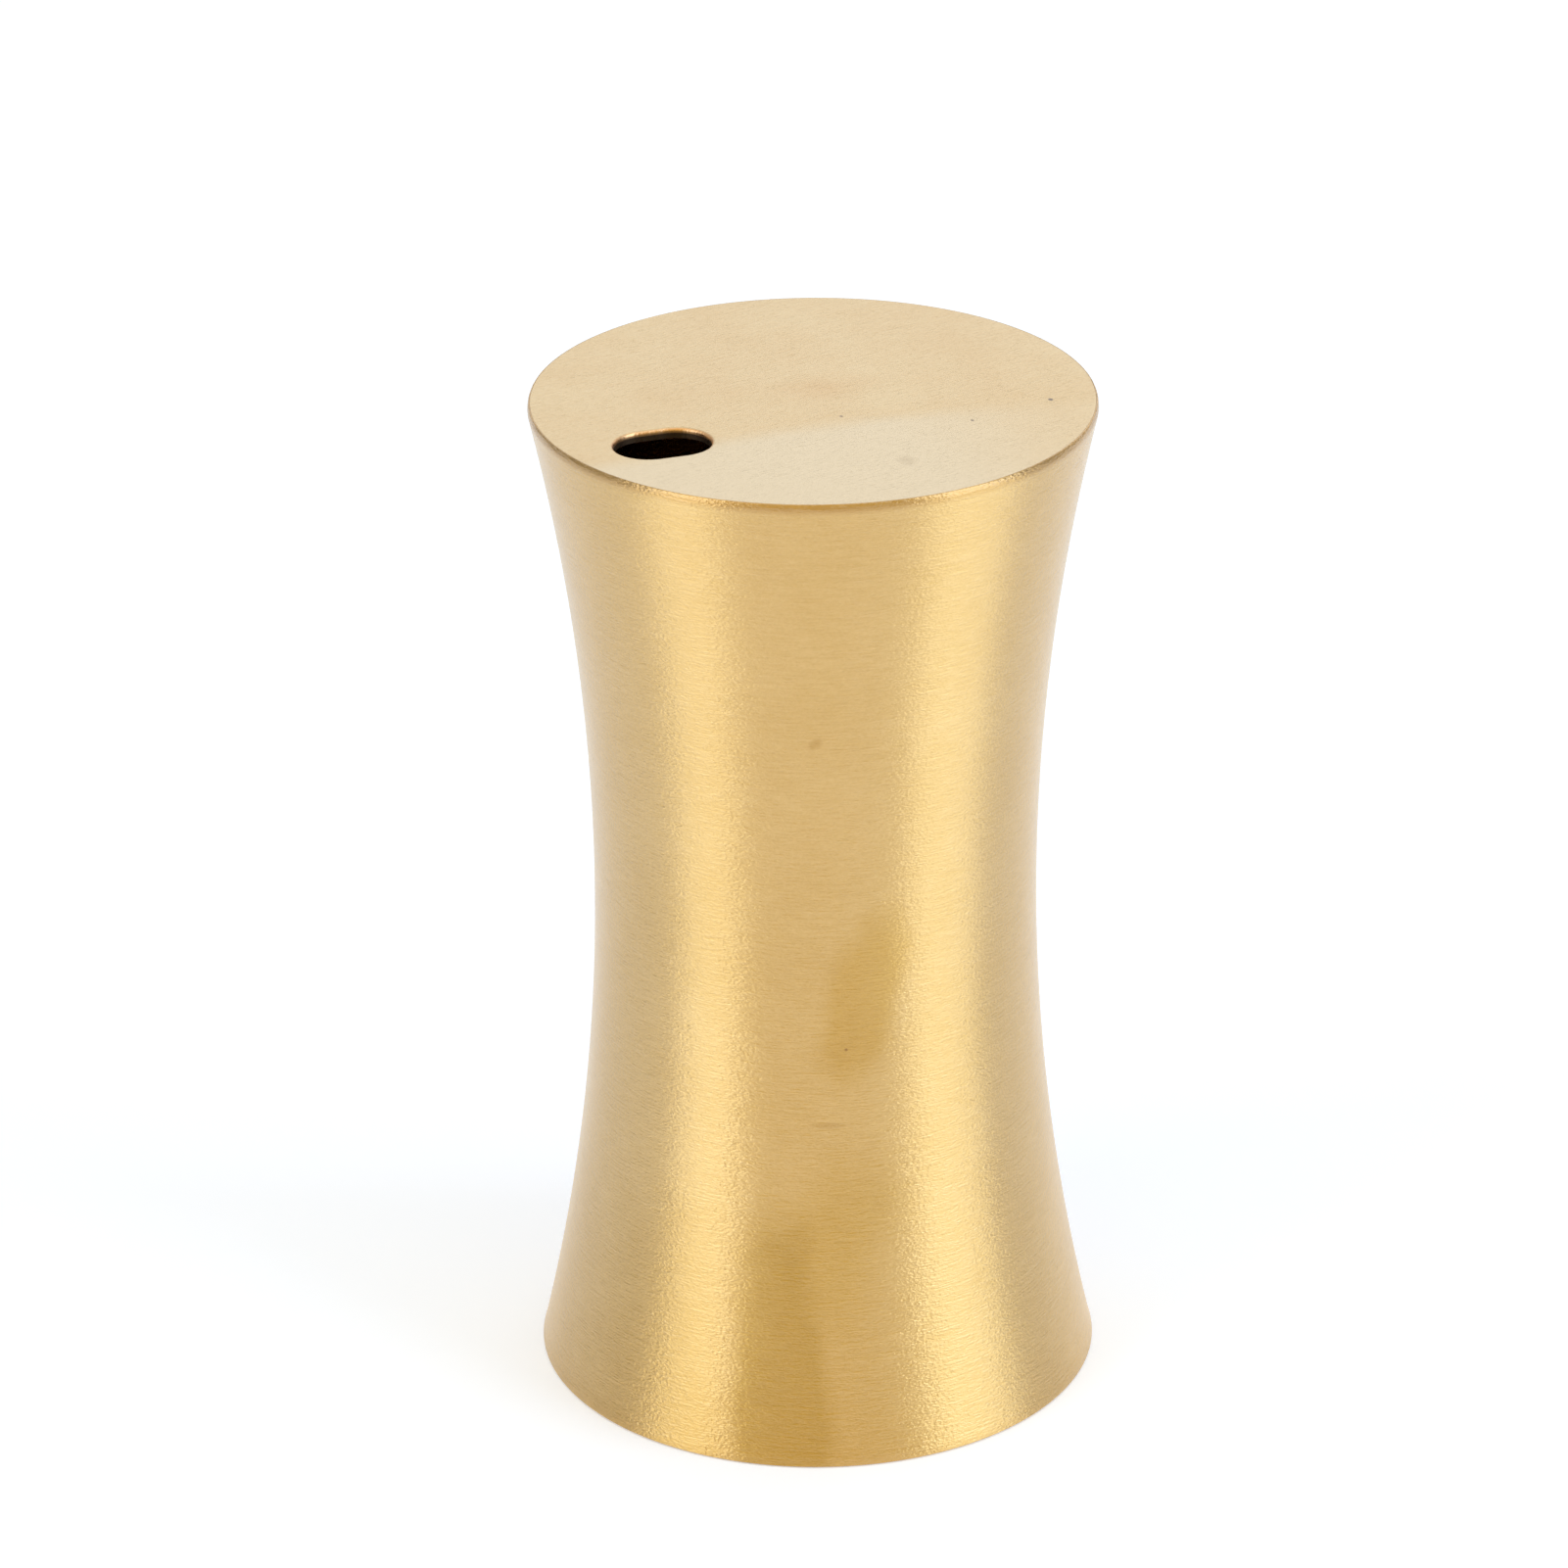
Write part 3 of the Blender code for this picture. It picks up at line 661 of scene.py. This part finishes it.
GREY_SILICONE = "#7C7A77"
GREY_SILICONE_DUSTY = "#8B8986"
grey_silicone = bpy.data.materials.new("grey_silicone_moulded")
tree = blank_tree(grey_silicone)
place = add(tree, "ShaderNodeTexCoord").outputs["Object"]
dust = add(tree, "ShaderNodeTexNoise", Vector=place, Scale=1 / (1.2 * MM), Detail=6.0, Roughness=0.7)
tone = add(tree, "ShaderNodeMix", {"data_type": "RGBA"}, in0=dust.outputs["Fac"], in6=linear(GREY_SILICONE),
           in7=linear(GREY_SILICONE_DUSTY))
relief = add(tree, "ShaderNodeBump", Strength=1.0, Distance=0.02 * MM, Height=dust.outputs["Fac"])
rubber = add(tree, "ShaderNodeBsdfPrincipled", Base_Color=tone.outputs[2], Roughness=0.62, IOR=1.41,
             Normal=relief.outputs[0])
add(tree, "ShaderNodeOutputMaterial", Surface=rubber.outputs[0])
foot.data.materials.append(grey_silicone)
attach(foot, "root")
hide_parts("foot_ring")

# Base cap: a hollow screw plug, one black ABS moulding. Its flange sits in the counterbore, a round thread
# runs up its wall, and a bar across the hollow is what the fingers turn. It is unscrewed to refill it.
FLANGE_TOP = 2.4 * MM
CAP_TOP = 8.7 * MM
CAP_WALL = 1.6 * MM
CAP_FLOOR = 1.8 * MM
GRIP_WIDTH = 3.0 * MM
GRIP_SETBACK = 0.5 * MM
GRIP_WAIST = 0.25 * MM
plug_root = nut_root - GAP - THREAD_DEPTH
hollow_radius = plug_root - CAP_WALL
flange_radius = counterbore - GAP
hollow_top = CAP_TOP - CAP_FLOOR


def plug_thread(bearing, height, radius):
    """Moves the plug's wall out to its crests: the thread's depth times its share."""
    on_wall = np.abs(radius - plug_root) < ON_WALL
    return THREAD_DEPTH * thread_share(bearing, height) * grown(height, SHOULDER, CAP_TOP) * on_wall


cap_foot = rounded([(0, hollow_top), (hollow_radius, hollow_top), (hollow_radius, BASE_RECESS),
                    (flange_radius, BASE_RECESS), (flange_radius, FLANGE_TOP), (plug_root, FLANGE_TOP)],
                   [0, 0.8 * MM, 0.35 * MM, 0.3 * MM, 0.2 * MM, 0])
cap_heights = np.linspace(SHOULDER, CAP_TOP - 0.25 * MM, THREAD_ROWS)
cap_head = rounded([(plug_root - 0.01 * MM, CAP_TOP - 0.24 * MM), (plug_root - 0.01 * MM, CAP_TOP),
                    (0, CAP_TOP)],
                   [0, 0.23 * MM, 0])
cap_outline = np.concatenate([cap_foot, np.stack([np.full(THREAD_ROWS, plug_root), cap_heights], 1),
                              cap_head])
cap = piece("base_cap_moulding", turned(cap_outline, plug_thread), closed=False)


def grip_bar(stations=42):
    """Grid of the bar: a cross-section with rounded lower edges, carried along X. Its half width is the
    full one less a waist that follows the cosine of the place along it, so it is thinnest in the middle.
    An even count keeps every station off the middle, where the spokes of the hollow's ceiling run, so
    that the union stays closed."""
    half_length = hollow_radius + CAP_WALL / 2
    low, high = BASE_RECESS + GRIP_SETBACK, CAP_TOP - CAP_FLOOR / 2
    section = rounded([(-GRIP_WIDTH / 2, high), (-GRIP_WIDTH / 2, low), (GRIP_WIDTH / 2, low),
                       (GRIP_WIDTH / 2, high)],
                      [0, 0.9 * MM, 0.9 * MM, 0], 8)
    x = np.linspace(-half_length, half_length, stations)[:, None]
    narrowing = 1 - GRIP_WAIST / (GRIP_WIDTH / 2) * np.cos(np.pi / 2 * np.clip(x / hollow_radius, -1, 1))
    return np.stack([np.repeat(x, len(section), 1), section[:, 0] * narrowing,
                     np.repeat(section[None, :, 1], stations, 0)], 2)


bar_grid = grip_bar()
ends = [np.repeat(bar_grid[i].mean(0)[None], bar_grid.shape[1], 0) for i in (0, -1)]
bar = piece("grip_bar_tool", np.concatenate([ends[0][None], bar_grid, ends[1][None]]), closed=False)
union = cap.modifiers.new("bar", "BOOLEAN")
union.operation = "UNION"
union.solver = "EXACT"
union.object = bar
bpy.context.view_layer.update()
joined = bpy.data.meshes.new_from_object(cap.evaluated_get(bpy.context.evaluated_depsgraph_get()))
cap.modifiers.clear()
cap.data = joined
bpy.data.objects.remove(bar, do_unlink=True)
joined.shade_smooth()
joined.set_sharp_from_angle(angle=math.radians(30))
joined.materials.clear()
joined.materials.append(moulded_plastic("black_abs_cap", BLACK_ABS, BLACK_ABS_WORN, 0.46, SPARK_GRAIN))
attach(cap, "cap")
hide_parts("base_cap")

# Cap gasket: a flat washer of translucent white silicone, punched from sheet. It lies loose round the plug,
# between the cap's flange and the ring's shoulder, and keeps the foot shut and quiet.
GASKET_BOTTOM = 2.7 * MM
GASKET_TOP = 3.7 * MM
gasket_outline = rounded([(plug_root + GAP, GASKET_BOTTOM), (flange_radius, GASKET_BOTTOM),
                          (flange_radius, GASKET_TOP), (plug_root + GAP, GASKET_TOP)], [0.12 * MM] * 4)
gasket = piece("cap_gasket_washer", turned(gasket_outline))

WHITE_SILICONE = "#D6D4CE"
WHITE_SILICONE_DEEP = "#C9C6BE"
white_silicone = bpy.data.materials.new("white_silicone_sheet")
tree = blank_tree(white_silicone)
place = add(tree, "ShaderNodeTexCoord").outputs["Object"]
cloud = add(tree, "ShaderNodeTexNoise", Vector=place, Scale=1 / (2.5 * MM), Detail=3.0, Roughness=0.5)
tone = add(tree, "ShaderNodeMix", {"data_type": "RGBA"}, in0=cloud.outputs["Fac"],
           in6=linear(WHITE_SILICONE_DEEP), in7=linear(WHITE_SILICONE))
skin = add(tree, "ShaderNodeTexNoise", Vector=place, Scale=1 / (0.3 * MM), Detail=2.0, Roughness=0.5)
relief = add(tree, "ShaderNodeBump", Strength=1.0, Distance=0.01 * MM, Height=skin.outputs["Fac"])
soft = add(tree, "ShaderNodeBsdfPrincipled", Base_Color=tone.outputs[2], Roughness=0.5, IOR=1.41,
           Subsurface_Weight=0.5, Subsurface_Radius=(1.0, 0.9, 0.8), Subsurface_Scale=0.8 * MM,
           Normal=relief.outputs[0])
add(tree, "ShaderNodeOutputMaterial", Surface=soft.outputs[0])
gasket.data.materials.append(white_silicone)
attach(gasket, "gasket")
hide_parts("cap_gasket")
